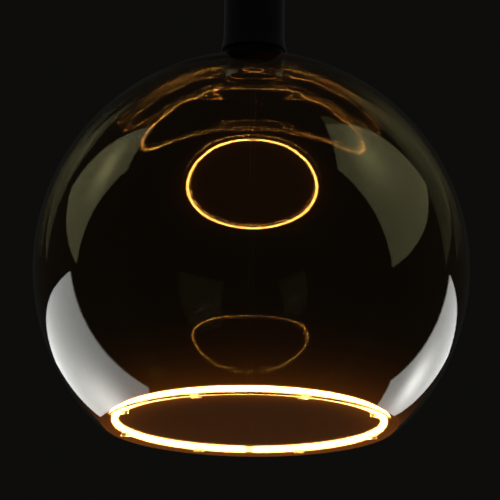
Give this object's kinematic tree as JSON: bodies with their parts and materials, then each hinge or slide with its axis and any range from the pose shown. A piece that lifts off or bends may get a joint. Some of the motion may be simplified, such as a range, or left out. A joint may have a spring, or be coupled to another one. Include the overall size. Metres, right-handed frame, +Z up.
{
  "type": "led globe bulb",
  "caption": "Large smoked-glass globe lamp with a flat base, a glowing filament ring lying in it, a black neck collar and an E27 screw cap.",
  "frame": {"origin": "centre of the flat glass base, at the bottom", "axes": "+Z up along the lamp's axis, from the base to the cap; +Y away from the picture's viewer, towards the joint of the light ring; +X to the viewer's right"},
  "size_m": [0.2, 0.2, 0.2351],
  "materials": {
    "smoked_glass": "clear smoky brown, fire polished",
    "phosphor_silicone": "satin, glowing when lit",
    "flexible_strip": "satin",
    "light_chip": "glossy, glowing when lit",
    "tinned_metal": "tinned, satin",
    "clear_adhesive": "clear, slightly hazy",
    "lead_copper": "enamelled copper",
    "black_silicone": "satin",
    "black_plastic": "fine matt moulded",
    "circuit_board": "solder-resist gloss",
    "package_black": "matt moulded",
    "resistor_body": "lacquered",
    "film_case": "satin moulded",
    "can_sleeve": "aluminium can in a dark shrink sleeve",
    "bung_rubber": "matt",
    "ferrite": "matt, sintered",
    "winding_copper": "enamelled copper",
    "live_insulation": "satin brown",
    "neutral_insulation": "satin blue",
    "cap_metal": "nickel-plated sheet, satin",
    "cap_glass": "opaque black, glossy",
    "contact_brass": "bright",
    "solder": "dull bright solder"
  },
  "bodies": {
    "root": {"globe": "smoked_glass", "phosphor_sleeve": "phosphor_silicone", "led_strip": "flexible_strip", "led_chips": "light_chip", "ring_terminals": "tinned_metal", "ring_pads": "clear_adhesive", "lead_positive": "lead_copper", "lead_negative": "lead_copper", "terminal_solder": "solder", "neck_plug": "black_silicone", "neck_sealant": "black_silicone", "collar": "black_plastic", "driver_board": "circuit_board", "bridge_rectifier": "package_black", "driver_chip": "package_black", "chip_resistors": "package_black", "fuse_resistor": "resistor_body", "film_capacitor": "film_case", "bulk_capacitor": "can_sleeve", "capacitor_bung": "bung_rubber", "choke_core": "ferrite", "choke_winding": "winding_copper", "component_legs": "tinned_metal", "board_solder": "solder", "live_wire": "live_insulation", "neutral_wire": "neutral_insulation", "cap_shell": "cap_metal", "cap_insulator": "cap_glass", "centre_contact": "contact_brass", "contact_solder": "solder"}
  },
  "joints": []
}
